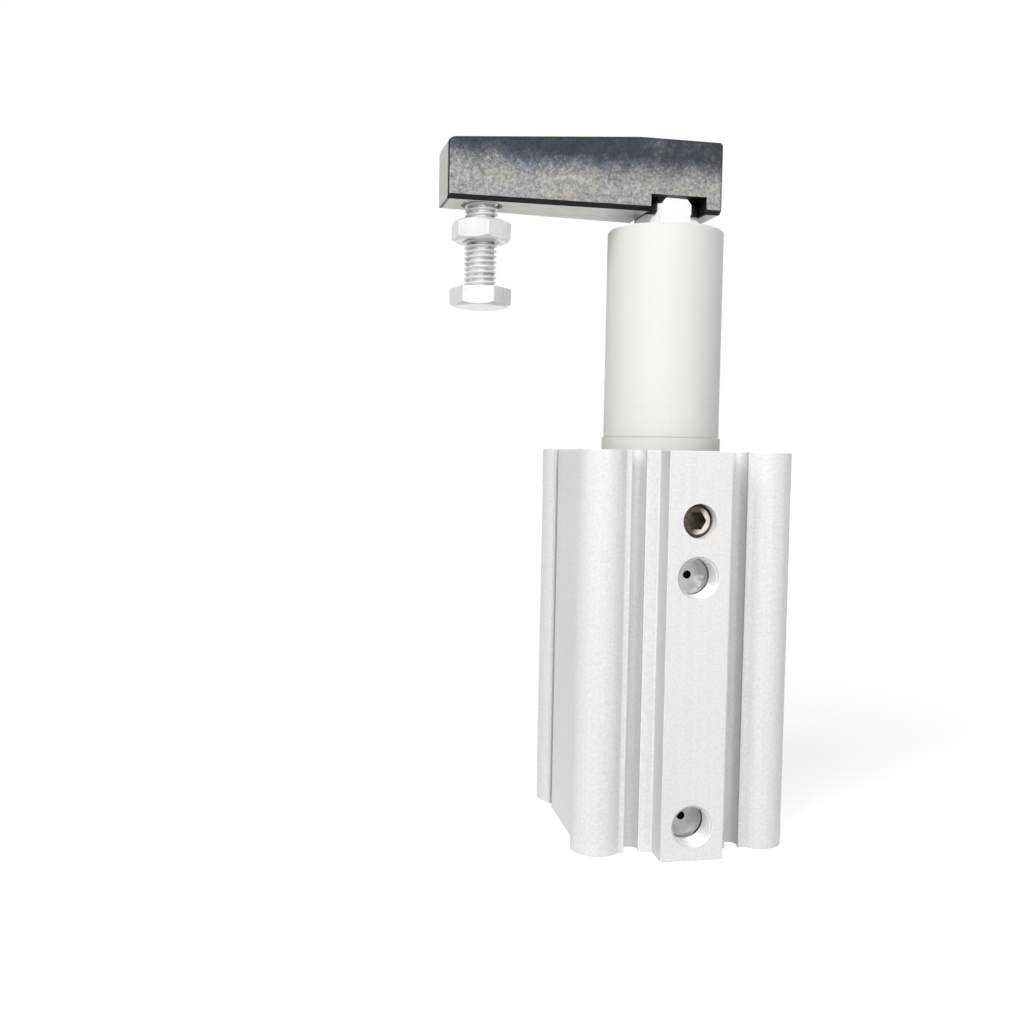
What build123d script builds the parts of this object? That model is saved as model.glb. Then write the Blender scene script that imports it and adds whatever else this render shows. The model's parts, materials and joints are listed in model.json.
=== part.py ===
from build123d import *
import os
from math import cos, radians, sin, sqrt

"""Compact swing clamp cylinder with a 40 mm bore, standing upright on its head end.

The rod first rises straight by the clamp stroke. Over the swing stroke, a pin in the
cover follows a helical groove in the rod and turns the clamp arm by a quarter turn.
The model shows it retracted, which is the clamped state.

Millimetres. Z is the rod axis and z = 0 is the mounting face at the head end.
The port panel faces -Y. The clamp arm points along -X, and is set a few degrees off it.
"""

# Bore, rod and strokes
bore_d = 40.0
rod_d = 16.0
clamp_stroke = 20.0
swing_stroke = 15.0
swing_angle = 90.0

# Tube section
hole_pitch = 40.0
boss_d = 12.0
flat_inset = 2.0
panel_width = 15.0
panel_proud = 7.0
slot_offset = 12.4
slot_d = 4.1
slot_mouth = 3.4
slot_depth = 4.1
bolt_hole_d = 5.5
counterbore_d = 9.0
counterbore_depth = 7.0

# Ports and the set screw that holds the guide pin
port_d = 8.6
port_depth = 8.2
port_mouth = 0.5
orifice_d = 2.0
head_port_rise = 1.4
pin_rise = 13.0
set_screw_d = 8.0
set_screw_sunk = 2.4
set_screw_hex = 4.0
set_screw_hex_depth = 4.0
set_screw_edge = 0.8
pin_d = 5.0

# Heights of the stack inside the tube, from the head end up
plate_recess = 0.6
plate_t = 6.0
caulk_lip = 0.45
head_bumper_t = 2.0
magnet_plate_t = 2.3
magnet_t = 4.0
piston_t = 13.2
rod_bumper_t = 2.2
cover_skirt = 4.0
cover_spigot = 21.0
cover_flange = 4.7
ring_t = 1.75
ring_lip = 1.5

# Radial sizes of the stack
seat_step = 1.2
plate_step = 1.0
ring_groove = 0.8
ring_width = 2.95
ring_gap_angle = 24.0
ring_lug_angle = 40.0
ring_lug_d = 4.8
ring_lug_hole_d = 2.0
skirt_relief = 2.2
spigot_neck_d = 12.0
magnet_bore_d = 28.0
piston_gap = 0.4
wear_ring_t = 2.0
wear_ring_h = 4.0
seal_t = 3.9
seal_h = 4.0
land = 1.8
oring_d = 2.0
bumper_inset = 4.4
bumper_width = 5.6
seal_lip = 1.0

# Neck of the rod cover and what it holds
neck_d = 28.9
neck_guide = 19.6
neck_rim = 2.05
neck_recess_depth = 3.0
neck_seat_step = 2.0
collar_step = 0.4
collar_rise = 3.5
guide_relief = 1.0
scraper_h = 5.3
scraper_lip = 1.6
retainer_t = 2.7
rod_seal_h = 5.0
bush_h = 20.0

# Rod end and clamp arm
rod_proud = 7.5
flat_cut = 1.0
flat_length = 5.2
rod_end_chamfer = 0.6
rod_end_slope = 1.8
cam_depth = 2.0
rod_hole_spare = 1.5
arm_gap = 3.5
arm_turn = 3.5
arm_width = 18.0
arm_tip_width = 12.7
arm_reach = 56.8
arm_heel = 11.3
arm_root_t = 17.6
arm_tip_t = 14.3
arm_flat_top = 9.8
arm_tip_r = 2.0
arm_edge_r = 1.0
arm_tip_edge = 0.4
arm_lower_chamfer = 1.05
arm_hole_sink = 1.0

# Screws
clamp_bolt_inset = 9.5
clamp_bolt_d = 8.0
clamp_bolt_length = 35.0
clamp_bolt_drop = 19.9
hex_flats = 13.0
hex_face_d = 12.35
bolt_head_h = 4.4
bolt_end = 0.7
bolt_head_turn = -16.5
lock_nut_h = 4.8
lock_nut_drop = 3.9
lock_nut_turn = -29.0
arm_screw_d = 8.0
arm_screw_length = 20.0
arm_screw_head_d = 13.0
arm_screw_head_h = 8.0
arm_screw_hex = 6.0
arm_screw_hex_depth = 4.0
cap_edge = 0.6
washer_t = 1.6
washer_d = 12.7
washer_bore_d = 8.2
washer_slit = 1.2
washer_slit_turn = 60.0

# Clearances
fit = 0.05
running = 0.05
stop_gap = 0.1
seal_side = 0.1
pin_tip_gap = 0.3
cam_play = 0.1
notch_play = 0.1
retainer_gap = 0.2
thread_fit = 0.04
screw_play = 0.2
cap_play = 0.3

# Radii and heights that follow from the sizes above
bore_r = bore_d / 2
rod_r = rod_d / 2
seat_r = bore_r + seat_step
plate_seat_r = bore_r + plate_step
flat_half = (hole_pitch + boss_d) / 2 - flat_inset
panel_face = flat_half + panel_proud
total_stroke = clamp_stroke + swing_stroke

plate_z = plate_recess
plate_top = plate_z + plate_t
piston_z = plate_top + head_bumper_t + stop_gap
magnet_z = piston_z + magnet_plate_t
disc_z = magnet_z + magnet_t
piston_top = disc_z + piston_t
rod_bumper_z = piston_top + total_stroke + stop_gap
cover_z = rod_bumper_z + rod_bumper_t
seat_z = cover_z + cover_spigot
flange_top = seat_z + cover_flange
body_top = flange_top + ring_t + fit + ring_lip

neck_top = body_top + neck_guide + total_stroke
recess_z = neck_top - neck_recess_depth
scraper_z = recess_z - scraper_h
retainer_z = scraper_z - retainer_t
rod_seal_z = retainer_z - rod_seal_h
bush_z = rod_seal_z - bush_h
neck_seat_r = rod_r + neck_seat_step
neck_r = neck_d / 2
collar_r = neck_r + collar_step

rod_top = neck_top + rod_proud
arm_z = neck_top + arm_gap
arm_top = arm_z + arm_root_t
screw_seat = arm_top - arm_screw_head_h - washer_t
pin_z = cover_z + pin_rise
rod_port_z = cover_z
head_port_z = plate_top + head_port_rise
bolt_head_z = arm_z - clamp_bolt_drop - bolt_head_h
clamp_bolt_at = arm_reach - clamp_bolt_inset
lock_nut_z = arm_z - lock_nut_drop - lock_nut_h


def bar(radius, low, high):
    """Round bar on the rod axis between two heights."""
    return Pos(0, 0, low) * Cylinder(
        radius, high - low, align=(Align.CENTER, Align.CENTER, Align.MIN)
    )


def tube(outer, inner, low, high):
    return bar(outer, low, high) - bar(inner, low, high)


def turned(*points):
    """Solid turned about the rod axis from (radius, height) points."""
    outline = Polyline(*[(radius, 0, height) for radius, height in points], close=True)
    return revolve(make_face(outline), Axis.Z)


def facing_ports(solid, height):
    """Lay a solid made along +Z so that it runs from the rod axis towards -Y."""
    return Pos(0, 0, height) * Rot(90, 0, 0) * solid


def corners(solid):
    """Copies of a solid at the four corner holes."""
    half = hole_pitch / 2
    return [Pos(x, y, 0) * solid for x in (-half, half) for y in (-half, half)]


def hexagon(flats, low, high, turn=0.0):
    """Hexagonal prism with one flat facing -Y before it is turned."""
    outline = RegularPolygon(flats / 2, 6, major_radius=False, rotation=turn)
    return Pos(0, 0, low) * extrude(outline, high - low)


def at_clamp_bolt(solid):
    return Pos(-clamp_bolt_at, 0, 0) * solid


def with_arm(solid):
    """Turn what belongs to the arm from the -X axis to where the arm is set on the rod."""
    return Rot(0, 0, arm_turn) * solid


def tube_section():
    """Square extrusion with corner bosses, a port panel and eight switch slots."""
    half = hole_pitch / 2
    section = Rectangle(2 * flat_half, 2 * flat_half)
    for x in (-half, half):
        for y in (-half, half):
            section += Pos(x, y) * Circle(boss_d / 2)
    section += Pos(0, -panel_face / 2) * Rectangle(panel_width, panel_face)
    round_y = flat_half - slot_depth + slot_d / 2
    slot = Pos(0, round_y) * Circle(slot_d / 2)
    slot += Pos(0, (round_y + flat_half + flat_inset) / 2) * Rectangle(
        slot_mouth, flat_half + flat_inset - round_y
    )
    for quarter in range(4):
        for offset in (-slot_offset, slot_offset):
            section -= Rot(0, 0, 90 * quarter) * (Pos(offset, 0) * slot)
    return section


def port_hole(height):
    """Threaded port at its tap size, with a broken edge and a small orifice."""
    floor = panel_face - port_depth
    hole = bar(port_d / 2, floor, panel_face)
    hole += turned(
        (0, panel_face - port_mouth),
        (port_d / 2, panel_face - port_mouth),
        (port_d / 2 + port_mouth, panel_face),
        (0, panel_face),
    )
    hole += bar(orifice_d / 2, bore_r / 2, floor)
    return facing_ports(hole, height)


def cylinder_tube():
    body = extrude(tube_section(), body_top)
    body -= bar(bore_r, 0, body_top)
    body -= bar(seat_r, seat_z, body_top)
    groove_top = flange_top + ring_t + fit
    body -= bar(seat_r + ring_groove, flange_top, groove_top)
    body -= bar(plate_seat_r, plate_z, plate_top)
    body -= bar(plate_seat_r - caulk_lip, 0, plate_z)
    body -= corners(bar(bolt_hole_d / 2, 0, body_top))
    body -= corners(bar(counterbore_d / 2, 0, counterbore_depth))
    body -= corners(bar(counterbore_d / 2, body_top - counterbore_depth, body_top))
    body -= port_hole(rod_port_z)
    body -= port_hole(head_port_z)
    body -= facing_ports(bar(set_screw_d / 2, bore_r / 2, panel_face), pin_z)
    return body


def rod_cover():
    """Cover and neck turned from one bar, with its two guides for the rod."""
    spigot_r = bore_r - fit
    skirt_r = bore_r - skirt_relief
    groove_z = cover_z + cover_skirt + land
    groove_r = spigot_r - oring_d
    collar_top = body_top + collar_rise
    cover = turned(
        (rod_r + running, cover_z),
        (skirt_r, cover_z),
        (skirt_r, cover_z + cover_skirt),
        (spigot_r, cover_z + cover_skirt),
        (spigot_r, groove_z),
        (groove_r, groove_z),
        (groove_r, groove_z + oring_d + 2 * seal_side),
        (spigot_r, groove_z + oring_d + 2 * seal_side),
        (spigot_r, seat_z),
        (seat_r - fit, seat_z),
        (seat_r - fit, flange_top),
        (collar_r, flange_top),
        (collar_r, collar_top - collar_step),
        (neck_r, collar_top),
        (neck_r, neck_top - collar_step),
        (neck_r - collar_step, neck_top),
        (neck_r - neck_rim, neck_top),
        (neck_r - neck_rim, recess_z),
        (neck_seat_r, recess_z),
        (neck_seat_r, bush_z),
        (rod_r + guide_relief, bush_z),
        (rod_r + guide_relief, seat_z),
        (rod_r + running, seat_z),
    )
    return cover - facing_ports(bar(pin_d / 2 + fit, 0, bore_r), pin_z)


def retaining_ring():
    """Internal retaining ring with two lugs, which springs into the tube's groove."""
    outer = seat_r + ring_groove - fit
    inner = outer - ring_width
    gap = radians(ring_gap_angle / 2)
    reach = 2 * outer
    side_x, side_y = reach * sin(gap), reach * cos(gap)
    wedge = Polygon((0, 0), (-side_x, side_y), (side_x, side_y), align=None)
    shape = Circle(outer) - Circle(inner) - wedge
    for side in (-1, 1):
        turn = Rot(0, 0, side * ring_lug_angle / 2)
        shape += turn * (Pos(0, inner) * Circle(ring_lug_d / 2))
        shape -= turn * (Pos(0, inner) * Circle(ring_lug_hole_d / 2))
    return Pos(0, 0, flange_top) * extrude(shape, ring_t)


def oring(outer, height):
    """O-ring that fills a groove of its own thickness, by its outer radius."""
    section = Pos(outer - oring_d / 2, 0, height) * Rot(90, 0, 0) * Circle(oring_d / 2 - fit)
    return revolve(section, Axis.Z)


def cover_oring():
    groove_z = cover_z + cover_skirt + land
    return oring(bore_r - fit, groove_z + oring_d / 2 + seal_side)


def bottom_plate():
    groove_z = plate_z + (plate_t - oring_d) / 2 - seal_side
    rim = plate_seat_r - fit
    plate = bar(rim, plate_z, plate_top)
    groove = tube(rim, rim - oring_d, groove_z, groove_z + oring_d + 2 * seal_side)
    return plate - groove


def bottom_oring():
    return oring(plate_seat_r - fit, plate_z + plate_t / 2)


def bumper(low, height):
    """Rubber stop ring for the piston."""
    outer = bore_r - bumper_inset
    return tube(outer, outer - bumper_width, low, low + height)


def piston():
    """Piston disc with its seal and wear ring grooves, and the seat of the magnet."""
    outer = bore_r - piston_gap
    wear_floor = bore_r - running - wear_ring_t - fit
    seal_floor = bore_r - running - seal_t - fit
    wear_z = disc_z + land
    wear_high = wear_z + wear_ring_h + 2 * seal_side
    seal_z = wear_high + land
    seal_high = seal_z + seal_h + 2 * seal_side
    body = bar(outer, disc_z, piston_top)
    body += bar(magnet_bore_d / 2, magnet_z, disc_z)
    body -= tube(bore_r, wear_floor, wear_z, wear_high)
    body -= tube(bore_r, seal_floor, seal_z, seal_high)
    return body - bar(spigot_neck_d / 2 + fit, magnet_z, piston_top)


def wear_ring():
    low = disc_z + land + seal_side
    outer = bore_r - running
    return tube(outer, outer - wear_ring_t, low, low + wear_ring_h)


def piston_seal():
    """Two-lipped seal with a hollow between its lips."""
    low = disc_z + 2 * land + wear_ring_h + 3 * seal_side
    outer = bore_r - running
    inner = outer - seal_t
    waist = outer - seal_lip
    return turned(
        (inner, low),
        (waist, low),
        (outer, low + seal_lip),
        (waist, low + seal_h / 2),
        (outer, low + seal_h - seal_lip),
        (waist, low + seal_h),
        (inner, low + seal_h),
    )


def magnet_ring():
    return tube(bore_r - piston_gap - fit, magnet_bore_d / 2 + fit, magnet_z, disc_z)


def magnet_plate():
    """Plate under the magnet, countersunk for the swaged end of the rod."""
    spigot_r = spigot_neck_d / 2
    plate = bar(bore_r - piston_gap, piston_z, magnet_z)
    return plate - turned(
        (0, piston_z),
        (spigot_r + magnet_plate_t / 2 + fit, piston_z),
        (spigot_r + fit, piston_z + magnet_plate_t / 2),
        (spigot_r + fit, magnet_z),
        (0, magnet_z),
    )


def rod_blank():
    """Turned rod, with its swaged spigot, its end chamfer and the thread for the arm."""
    spigot_r = spigot_neck_d / 2
    blank = turned(
        (0, piston_z + stop_gap),
        (spigot_r + magnet_plate_t / 2 - stop_gap, piston_z + stop_gap),
        (spigot_r, piston_z + magnet_plate_t / 2),
        (spigot_r, piston_top),
        (rod_r, piston_top),
        (rod_r, rod_top - rod_end_slope),
        (rod_r - rod_end_chamfer, rod_top),
        (0, rod_top),
    )
    hole_r = arm_screw_d / 2 + thread_fit
    screw_tip = screw_seat + washer_t - arm_screw_length
    hole_z = screw_tip - rod_hole_spare
    return blank - turned(
        (0, hole_z - hole_r / 2),
        (hole_r, hole_z),
        (hole_r, rod_top - arm_hole_sink),
        (hole_r + arm_hole_sink, rod_top),
        (0, rod_top),
    )


def rod_flat_cutter():
    """Side cutter that leaves one flat with a round run-out at its lower end."""
    half = rod_r
    low = rod_top - flat_length
    outline = Pos(0, low + half) * Circle(half)
    outline += Pos(0, low + half + rod_top / 2) * Rectangle(2 * half, rod_top)
    wall = Rot(90, 0, 0) * extrude(outline, rod_r)
    return Pos(0, flat_cut - rod_r, 0) * wall


def cam_groove():
    """Track of the guide pin in the rod: straight, then a helix over the swing stroke."""
    width = pin_d + cam_play
    straight_low = pin_z - clamp_stroke
    track = Pos(0, -rod_r, (pin_z + straight_low) / 2) * Box(width, 2 * cam_depth, clamp_stroke)
    track += facing_ports(bar(width / 2, rod_r - cam_depth, rod_r + cam_depth), pin_z)
    helix_z = straight_low - swing_stroke
    pitch = swing_stroke * 360 / swing_angle
    helix = Helix(pitch, swing_stroke, rod_r)
    radial = Plane(origin=helix @ 0, x_dir=(1, 0, 0), z_dir=helix % 0)
    turn = sweep(radial * Rectangle(2 * cam_depth, width), path=helix, is_frenet=True)
    track += Pos(0, 0, helix_z) * Rot(0, 0, -90 - swing_angle) * turn
    for angle, height in ((0, straight_low), (-swing_angle, helix_z)):
        end = facing_ports(bar(width / 2, rod_r - cam_depth, rod_r + cam_depth), height)
        track += Rot(0, 0, angle) * end
    return track


def piston_rod():
    rod = rod_blank() - cam_groove()
    for quarter in range(4):
        rod -= with_arm(Rot(0, 0, 90 * quarter) * rod_flat_cutter())
    return rod


def rod_bushing():
    return tube(neck_seat_r - fit, rod_r + running, bush_z, rod_seal_z)


def rod_seal():
    """Lip seal with its open side towards the pressure below."""
    outer, inner = neck_seat_r - fit, rod_r + running
    middle = (outer + inner) / 2
    mouth = neck_seat_step / 8
    return turned(
        (inner, rod_seal_z),
        (middle - mouth, rod_seal_z),
        (middle, rod_seal_z + rod_seal_h / 2),
        (middle + mouth, rod_seal_z),
        (outer, rod_seal_z),
        (outer, retainer_z),
        (inner, retainer_z),
    )


def seal_retainer():
    return tube(neck_seat_r - fit, rod_r + retainer_gap, retainer_z, scraper_z)


def scraper():
    """Wiper that keeps chips off the rod, with a lip that stands above its seat."""
    outer, inner = neck_seat_r - fit, rod_r + running
    shoulder = neck_seat_step / 2
    return turned(
        (inner + neck_seat_step / 4, scraper_z),
        (outer, scraper_z),
        (outer, recess_z),
        (outer - shoulder / 2, recess_z + scraper_lip / 2),
        (inner + shoulder / 2, recess_z + scraper_lip),
        (inner, recess_z + scraper_lip),
        (inner, recess_z),
    )


def guide_pin():
    """Pin in the cover that steers the rod, cut short of the groove by its tip gap."""
    return facing_ports(bar(pin_d / 2, rod_r + pin_tip_gap, bore_r - fit), pin_z)


def set_screw():
    """Hollow-hex set screw that holds the guide pin in."""
    tip = bore_r
    face = panel_face - set_screw_sunk
    edge = set_screw_edge
    radius = set_screw_d / 2 - thread_fit
    screw = turned(
        (0, tip),
        (radius - edge, tip),
        (radius, tip + edge),
        (radius, face - edge),
        (radius - edge, face),
        (0, face),
    )
    screw -= hexagon(set_screw_hex, face - set_screw_hex_depth, face)
    return facing_ports(screw, pin_z)


def arm_blank():
    """Bar of the arm: flat on top over the rod, then thinner, and narrower towards the tip."""
    outline = Polygon(
        (-arm_reach, arm_z),
        (arm_heel, arm_z),
        (arm_heel, arm_top),
        (-arm_flat_top, arm_top),
        (-arm_reach, arm_z + arm_tip_t),
        align=None,
    )
    plan = Polygon(
        (-arm_reach, -arm_tip_width / 2),
        (arm_heel, -arm_width / 2),
        (arm_heel, arm_width / 2),
        (-arm_reach, arm_tip_width / 2),
        align=None,
    )
    bar_of_arm = extrude(Plane.XZ.offset(-arm_width / 2) * outline, arm_width)
    return bar_of_arm & Pos(0, 0, arm_z) * extrude(plan, arm_root_t)


def clamp_arm():
    """Cast arm with softened edges, a cross notch over the rod's flats and two screw holes."""
    arm = arm_blank()
    lower = arm.edges().group_by(Axis.Z)[0]
    arm = chamfer([edge for edge in lower if edge.length > arm_reach], arm_lower_chamfer)
    arm = chamfer(arm.edges().filter_by(Axis.Z).group_by(Axis.X)[0], arm_tip_edge)
    tip_top = arm.edges().filter_by(Axis.Y).group_by(Axis.X)[0].sort_by(Axis.Z)[-1]
    arm = fillet(tip_top, arm_tip_r)
    sides = arm.faces().sort_by(Axis.Y)
    rims = sides[0].edges() + sides[-1].edges()
    upper = [rim for rim in rims if rim.center().Z > arm_z + arm_tip_t]
    heel = arm.faces().sort_by(Axis.X)[-1].edges()
    arm = fillet(heel + upper, arm_edge_r)
    notch_w = 2 * (rod_r - flat_cut + notch_play)
    notch_h = rod_top - arm_z
    arm -= Pos(0, 0, arm_z + notch_h / 2) * Box(notch_w, 2 * arm_width, notch_h)
    arm -= bar(arm_screw_d / 2 + screw_play, rod_top, screw_seat)
    arm -= bar(arm_screw_head_d / 2 + cap_play, screw_seat, arm_top)
    hole_r = clamp_bolt_d / 2 + thread_fit
    arm -= at_clamp_bolt(bar(hole_r, arm_z, arm_top))
    sink_top = arm_z + arm_hole_sink
    sink = turned((0, arm_z), (hole_r + arm_hole_sink, arm_z), (hole_r, sink_top), (0, sink_top))
    return with_arm(arm - at_clamp_bolt(sink))


def arm_screw():
    """Socket head cap screw through the arm into the rod."""
    head_z = screw_seat + washer_t
    shank_r = arm_screw_d / 2
    head_r = arm_screw_head_d / 2
    tip = head_z - arm_screw_length
    screw = turned(
        (0, tip),
        (shank_r - bolt_end, tip),
        (shank_r, tip + bolt_end),
        (shank_r, head_z),
        (head_r, head_z),
        (head_r, arm_top - cap_edge),
        (head_r - cap_edge, arm_top),
        (0, arm_top),
    )
    return screw - hexagon(arm_screw_hex, arm_top - arm_screw_hex_depth, arm_top)


def spring_washer():
    washer = tube(washer_d / 2, washer_bore_d / 2, screw_seat, screw_seat + washer_t)
    slit = Rot(0, 0, washer_slit_turn) * Pos(washer_d / 2, 0, screw_seat + washer_t / 2)
    return washer - slit * Box(washer_d, washer_slit, 2 * washer_t)


def chamfered_hex(low, high, turn, both_ends):
    """Hexagon with its corners turned off at the lower end, and at the upper end if wanted."""
    corner = hex_flats / sqrt(3)
    face = hex_face_d / 2
    drop = (corner - face) / sqrt(3)
    outline = [(0, low), (face, low), (corner, low + drop)]
    if both_ends:
        outline += [(corner, high - drop), (face, high), (0, high)]
    else:
        outline += [(corner, high), (0, high)]
    return hexagon(hex_flats, low, high, turn) & turned(*outline)


def clamp_bolt():
    """Hexagon bolt, head down, whose head presses on the workpiece."""
    head_top = bolt_head_z + bolt_head_h
    radius = clamp_bolt_d / 2
    tip = head_top + clamp_bolt_length
    bolt = chamfered_hex(bolt_head_z, head_top, bolt_head_turn, both_ends=False)
    bolt += turned(
        (0, head_top),
        (radius, head_top),
        (radius, tip - bolt_end),
        (radius - bolt_end, tip),
        (0, tip),
    )
    return with_arm(at_clamp_bolt(bolt))


def lock_nut():
    top = lock_nut_z + lock_nut_h
    nut = chamfered_hex(lock_nut_z, top, lock_nut_turn, both_ends=True)
    nut -= bar(clamp_bolt_d / 2 + thread_fit, lock_nut_z, top)
    return with_arm(at_clamp_bolt(nut))


pieces = {
    "cylinder_tube": cylinder_tube(),
    "rod_cover": rod_cover(),
    "retaining_ring": retaining_ring(),
    "cover_oring": cover_oring(),
    "bottom_plate": bottom_plate(),
    "bottom_oring": bottom_oring(),
    "head_bumper": bumper(plate_top, head_bumper_t),
    "rod_bumper": bumper(rod_bumper_z, rod_bumper_t),
    "piston": piston(),
    "wear_ring": wear_ring(),
    "piston_seal": piston_seal(),
    "magnet_ring": magnet_ring(),
    "magnet_plate": magnet_plate(),
    "piston_rod": piston_rod(),
    "rod_bushing": rod_bushing(),
    "rod_seal": rod_seal(),
    "seal_retainer": seal_retainer(),
    "scraper": scraper(),
    "guide_pin": guide_pin(),
    "pin_set_screw": set_screw(),
    "clamp_arm": clamp_arm(),
    "arm_screw": arm_screw(),
    "spring_washer": spring_washer(),
    "clamp_bolt": clamp_bolt(),
    "lock_nut": lock_nut(),
}

os.makedirs("parts", exist_ok=True)
for name, piece in pieces.items():
    export_step(piece, f"parts/{name}.step")
    print(f"{name}: {piece.volume:.0f} mm3")
print(f"body {body_top:.2f}, neck {neck_top:.2f}, rod {rod_top:.2f}, arm {arm_z:.2f} to {arm_top:.2f}")
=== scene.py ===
"""Finishes, cut threads and a soft studio for the swing clamp cylinder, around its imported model."""
import json
from math import cos, pi, radians, sin

import bpy
from mathutils import Matrix, Vector

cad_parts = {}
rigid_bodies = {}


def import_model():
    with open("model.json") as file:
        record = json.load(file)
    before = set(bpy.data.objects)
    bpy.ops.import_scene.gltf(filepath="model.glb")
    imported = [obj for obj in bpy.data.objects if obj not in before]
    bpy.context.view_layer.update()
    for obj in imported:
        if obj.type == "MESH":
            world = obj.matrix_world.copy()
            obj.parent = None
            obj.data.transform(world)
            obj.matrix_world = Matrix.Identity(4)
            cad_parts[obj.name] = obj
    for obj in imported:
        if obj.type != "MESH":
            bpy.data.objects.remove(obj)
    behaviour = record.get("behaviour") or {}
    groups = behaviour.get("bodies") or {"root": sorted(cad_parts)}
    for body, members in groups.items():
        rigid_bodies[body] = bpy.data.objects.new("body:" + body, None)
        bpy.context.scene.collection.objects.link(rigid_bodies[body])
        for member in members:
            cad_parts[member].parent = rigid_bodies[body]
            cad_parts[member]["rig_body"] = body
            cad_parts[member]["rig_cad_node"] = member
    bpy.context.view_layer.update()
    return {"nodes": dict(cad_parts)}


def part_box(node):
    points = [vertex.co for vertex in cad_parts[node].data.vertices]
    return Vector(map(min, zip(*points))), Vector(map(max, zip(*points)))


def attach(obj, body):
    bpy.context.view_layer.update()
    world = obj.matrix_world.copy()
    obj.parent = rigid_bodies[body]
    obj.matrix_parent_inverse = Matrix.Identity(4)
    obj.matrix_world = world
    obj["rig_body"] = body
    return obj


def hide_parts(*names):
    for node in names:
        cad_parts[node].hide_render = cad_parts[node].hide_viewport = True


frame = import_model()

bl_info = {
    "name": "Swing clamp cylinder dressing",
    "version": (1, 0, 0),
    "blender": (4, 5, 0),
    "location": "View3D > Sidebar > Clamp",
    "description": "Adds finishes, threads and a studio to a swing clamp cylinder",
    "category": "Object",
}

MM = 0.001
MERGE = 1e-6
THREAD_STEPS = 48
TUBE_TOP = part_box("cylinder_tube")[1].z
PANEL_FACE = -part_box("cylinder_tube")[0].y
PORT_HEIGHTS = (8.0 * MM, 65.5 * MM)
THREAD_DEPTH = 0.55  # of the pitch
ARM_TURN = radians(3.5)
PLAY = 0.05 * MM  # between a cutter or the floor and what it clears
BLUR = 0.1 * MM  # over which a drawn edge fades

# Places on the tube, from its axis or below the port panel
BORE_CLEAR = 22.4 * MM
HOLE_AT = 20.0 * MM
HOLE_CLEAR = 4.6 * MM
SLOT_AT = 12.4 * MM
SLOT_MOUTH = 1.7 * MM
SLOT_HALF = 2.1 * MM
SLOT_BACK = 19.2 * MM
FLAT_FACE = 24.0 * MM
PANEL_HALF = 7.5 * MM
GROOVE = 0.7 * MM
PORT_CLEAR = 4.95 * MM
PORT_CREST = 4.5 * MM
PORT_ROOT = 4.8 * MM
ORIFICE = 1.0 * MM
GROOVE_TOP = 5.3 * MM
GROOVE_END = 6.5 * MM
PORT_FLOOR = 8.2 * MM
PORT_END = 10.8 * MM
SCREW_HEIGHT = 78.5 * MM
SCREW_FACE = 27.0 * MM

# Places on the neck, the arm and the bolt
COLLAR_TOP = TUBE_TOP + 8.0 * MM
ARM_BREAK = -9.8 * MM
ARM_TAPER = 3.4 * MM
NOTCH_HALF = 7.5 * MM
NOTCH_TOP = 156.8 * MM
BOLT_CLEAR = 5.0 * MM
BOLT_FLANK = 3.75 * MM
BOLT_ROOT = 3.4 * MM

# Fixed tones, among them the painted shade of the ports' thread roots, relief grooves and orifices, and
# the size and glow of the floor
WHITE = (1, 1, 1, 1)
ROOT_SHADE_GREY = (0.42, 0.42, 0.42, 1)
GROOVE_SHADE_GREY = (0.12, 0.12, 0.12, 1)
ORIFICE_SHADE_BLACK = (0.004, 0.004, 0.004, 1)
FLOOR_SIZE = 6.0
GLOW_START = 0.25
GLOW_END = 1.2


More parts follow.
